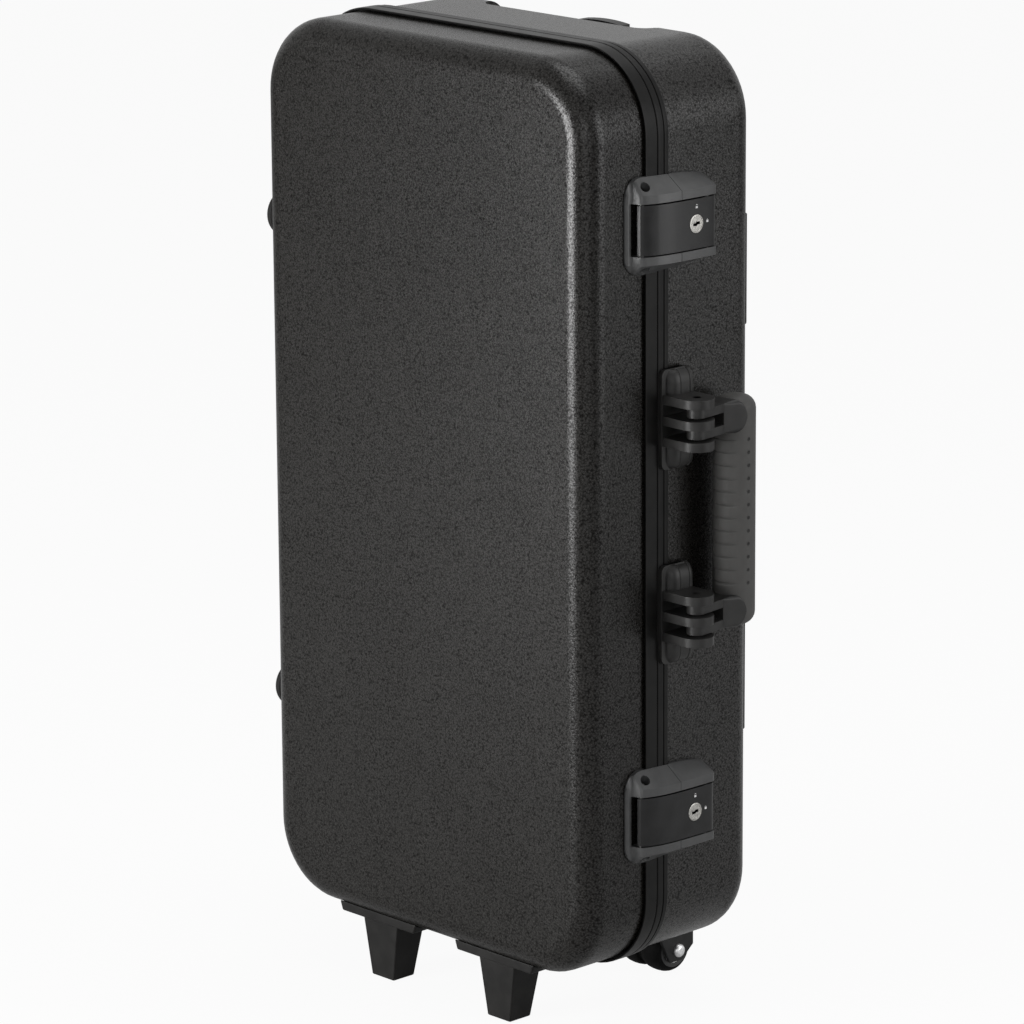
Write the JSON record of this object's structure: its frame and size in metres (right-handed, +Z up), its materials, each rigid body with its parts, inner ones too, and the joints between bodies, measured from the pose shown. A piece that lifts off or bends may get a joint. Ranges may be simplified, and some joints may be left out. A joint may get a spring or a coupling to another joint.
{
  "type": "hard case",
  "caption": "Upright moulded hard case: side-hinged lid, valance seam, key-lock draw latches, folding carry handle, feet, wheels and a pull-out handle.",
  "frame": {"origin": "on the floor, under the middle of the standing case's bounding box", "axes": "+Z up along the case's long side, -Y out of the lid's front, +X towards the latches and the carry handle"},
  "size_m": [0.418, 0.205, 0.755],
  "materials": {
    "shell": "pebble grain, moulded",
    "valance": "smooth satin",
    "bezel": "satin grey",
    "lever": "gloss black",
    "hardware": "satin black",
    "grip": "soft over-mould",
    "foot": "satin black",
    "bumper": "matt",
    "steel": "plain",
    "lock": "polished",
    "bracket_metal": "powder coat, black",
    "tyre": "moulded tread",
    "hub": "satin",
    "tube": "anodised",
    "guide": "black anodised",
    "lining": "foam-backed cloth",
    "seal": "matt"
  },
  "bodies": {
    "base": {"base_shell": "shell", "base_valance": "valance", "seal": "seal", "base_lining": "lining", "hinge_pins": "steel", "latch_pivot_pins": "steel", "handle_pins": "steel", "guide_bracket_top": "hardware", "guide_bracket_bottom": "hardware", "base_screws": "steel", "hinge_base_leaf_upper": "bracket_metal", "latch_base_plate_upper": "bezel", "handle_bracket_upper": "hardware", "base_bumper_upper": "bumper", "back_foot_upper_left": "foot", "back_foot_upper_right": "foot", "hinge_base_leaf_lower": "bracket_metal", "latch_base_plate_lower": "bezel", "handle_bracket_lower": "hardware", "base_bumper_lower": "bumper", "back_foot_lower_left": "foot", "back_foot_lower_right": "foot", "wheel_bracket_left": "bracket_metal", "wheel_axle_left": "steel", "guide_tube_left": "guide", "wheel_bracket_right": "bracket_metal", "wheel_axle_right": "steel", "guide_tube_right": "guide"},
    "lid": {"lid_shell": "shell", "lid_valance": "valance", "lid_lining": "lining", "latch_strikes": "steel", "lid_screws": "steel", "hinge_lid_leaf_upper": "bracket_metal", "latch_lid_bezel_upper": "bezel", "lid_bumper_upper": "bumper", "hinge_lid_leaf_lower": "bracket_metal", "latch_lid_bezel_lower": "bezel", "lid_bumper_lower": "bumper", "lid_foot_left": "foot", "lid_foot_right": "foot"},
    "carry_handle": {"handle_core": "hardware", "handle_grip": "grip"},
    "pull_handle": {"pull_grip": "hardware", "pull_tube_left": "tube", "pull_tube_right": "tube"},
    "release": {"release_button": "hardware", "release_yoke": "steel"},
    "lever_upper": {"latch_lever_upper": "lever"},
    "key_upper": {"key_cylinder_upper": "lock"},
    "lever_lower": {"latch_lever_lower": "lever"},
    "key_lower": {"key_cylinder_lower": "lock"},
    "wheel_left": {"wheel_hub_left": "hub", "wheel_tyre_left": "tyre", "wheel_bearings_left": "steel"},
    "wheel_right": {"wheel_hub_right": "hub", "wheel_tyre_right": "tyre", "wheel_bearings_right": "steel"}
  },
  "joints": [
    {"name": "lid_hinge", "type": "hinge", "parent": "base", "child": "lid", "pos_m": [-0.198, -0.0315, 0.402], "axis": [0, 0, -1], "range_deg": [0, 110]},
    {"name": "carry_handle_fold", "type": "hinge", "parent": "base", "child": "carry_handle", "pos_m": [0.196, -0.0168, 0.4064], "axis": [0, 0, -1], "range_deg": [0, 98]},
    {"name": "pull_handle_slide", "type": "slide", "parent": "base", "child": "pull_handle", "axis": [0, 0, 1], "range_m": [0, 0.4]},
    {"name": "release_press", "type": "slide", "parent": "pull_handle", "child": "release", "axis": [0, 0, -1], "range_m": [0, 0.004], "stiffness_N_per_m": 900, "springref_m": -0.004},
    {"name": "lever_upper_swing", "type": "hinge", "parent": "base", "child": "lever_upper", "pos_m": [0.1796, 0.0085, 0.62725], "axis": [0, 0, 1], "range_deg": [0, 100]},
    {"name": "key_upper_turn", "type": "hinge", "parent": "lever_upper", "child": "key_upper", "pos_m": [0.1796, -0.0077, 0.62725], "axis": [1, 0, 0], "range_deg": [0, 90]},
    {"name": "lever_lower_swing", "type": "hinge", "parent": "base", "child": "lever_lower", "pos_m": [0.1796, 0.0085, 0.17775], "axis": [0, 0, 1], "range_deg": [0, 100]},
    {"name": "key_lower_turn", "type": "hinge", "parent": "lever_lower", "child": "key_lower", "pos_m": [0.1796, -0.0077, 0.17775], "axis": [1, 0, 0], "range_deg": [0, 90]},
    {"name": "wheel_left_spin", "type": "hinge", "parent": "base", "child": "wheel_left", "pos_m": [-0.0745, 0.0825, 0.0195], "axis": [1, 0, 0], "continuous": true},
    {"name": "wheel_right_spin", "type": "hinge", "parent": "base", "child": "wheel_right", "pos_m": [0.0525, 0.0825, 0.0195], "axis": [1, 0, 0], "continuous": true}
  ]
}
